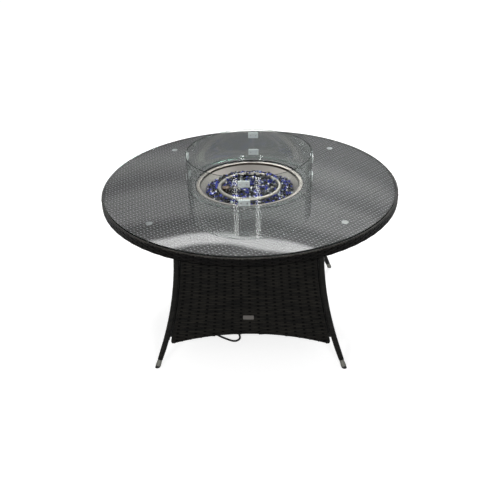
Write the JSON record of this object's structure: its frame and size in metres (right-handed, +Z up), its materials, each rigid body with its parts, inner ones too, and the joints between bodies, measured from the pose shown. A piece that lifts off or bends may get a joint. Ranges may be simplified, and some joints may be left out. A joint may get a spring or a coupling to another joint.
{
  "type": "gas fire pit table",
  "caption": "Round table with a glass top over a woven deck, a gas burner in a sunken pan with fire glass, a glass wind guard, woven bell-shaped base and splayed legs.",
  "frame": {"origin": "on the floor under the centre of the table", "axes": "+Z up, the front that the picture shows faces -Y, the gas controls face +Y, the flap faces +X"},
  "size_m": [1.3599, 1.36, 0.8975],
  "materials": {
    "tempered_glass": "clear green-tinted, polished edges",
    "clear_rubber": "translucent, smooth",
    "rattan": "woven flat resin strand",
    "coated_frame": "black powder coat",
    "cast_aluminium": "cast, lightly bead blasted",
    "black_rubber": "moulded, matt",
    "brushed_stainless": "pressed sheet with a brushed grain",
    "clip_steel": "satin",
    "fasteners": "bright zinc plated",
    "galvanised": "zinc spangle",
    "fire_glass": "tumbled glass chips, black, cobalt and clear",
    "brass": "turned",
    "copper_pipe": "drawn tube",
    "ceramic": "white glazed ceramic with insulated leads",
    "black_plastic": "moulded, fine grain",
    "die_cast": "die-cast zinc, grey lacquer"
  },
  "bodies": {
    "root": {"air_mixer": "brass", "back_panel_frame": "coated_frame", "back_panel_weave": "rattan", "base_rails": "coated_frame", "burner_locknut": "brushed_stainless", "burner_ring": "brushed_stainless", "control_plate": "brushed_stainless", "control_screws": "fasteners", "corner_plates": "coated_frame", "feed_pipe": "copper_pipe", "fire_glass": "fire_glass", "fire_pan": "brushed_stainless", "flame_sensor": "ceramic", "foot_caps": "cast_aluminium", "foot_glides": "black_rubber", "frame_bolts": "fasteners", "front_panel_frame": "coated_frame", "front_panel_weave": "rattan", "gas_hose": "black_rubber", "gas_valve": "brass", "glass_pads": "clear_rubber", "heat_shield": "galvanised", "hose_nut": "brass", "hose_union": "brass", "hub_ring": "coated_frame", "igniter_body": "black_plastic", "igniter_nut": "black_plastic", "left_panel_frame": "coated_frame", "left_panel_weave": "rattan", "leg_back_left": "rattan", "leg_back_right": "rattan", "leg_front_left": "rattan", "leg_front_right": "rattan", "leg_tubes": "coated_frame", "pilot_cover": "brushed_stainless", "regulator_body": "die_cast", "shield_posts": "galvanised", "spark_electrode": "ceramic", "spokes": "coated_frame", "table_glass": "tempered_glass", "top_ring": "coated_frame", "woven_deck": "rattan", "woven_rim": "rattan"},
    "guard": {"guard_glass_back_right": "tempered_glass", "guard_glass_back_left": "tempered_glass", "guard_glass_front_left": "tempered_glass", "guard_glass_front_right": "tempered_glass", "clip_outer_plates": "clip_steel", "clip_inner_plates": "clip_steel", "clip_gaskets": "clear_rubber", "clip_screws": "fasteners", "guard_feet": "clear_rubber"},
    "flap": {"flap_weave": "rattan", "flap_frame": "coated_frame", "flap_hooks": "coated_frame"},
    "valve_push": {"valve_pin": "brass"},
    "gas_knob": {"gas_knob": "black_plastic", "valve_stem": "brass"},
    "igniter_button": {"igniter_button": "black_plastic"},
    "regulator_tap": {"regulator_tap": "black_plastic"}
  },
  "joints": [
    {"name": "guard_lift", "type": "slide", "parent": "root", "child": "guard", "axis": [0, 0, 1], "range_m": [0, 0.2]},
    {"name": "flap_hinge", "type": "hinge", "parent": "root", "child": "flap", "pos_m": [0.305, 0, 0.677], "axis": [0, -1, 0], "range_deg": [0, 70]},
    {"name": "valve_press", "type": "slide", "parent": "root", "child": "valve_push", "axis": [0, -1, 0], "range_m": [0, 0.005], "stiffness_N_per_m": 900, "springref_m": -0.004},
    {"name": "gas_knob_turn", "type": "hinge", "parent": "valve_push", "child": "gas_knob", "pos_m": [-0.032, 0.33, 0.64], "axis": [0, 1, 0], "range_deg": [0, 210]},
    {"name": "igniter_press", "type": "slide", "parent": "root", "child": "igniter_button", "axis": [0, -1, 0], "range_m": [0, 0.005], "stiffness_N_per_m": 600, "springref_m": -0.004},
    {"name": "regulator_tap_turn", "type": "hinge", "parent": "root", "child": "regulator_tap", "pos_m": [-0.062, 0.127, 0.055], "axis": [0, 0, 1], "range_deg": [0, 90]}
  ]
}
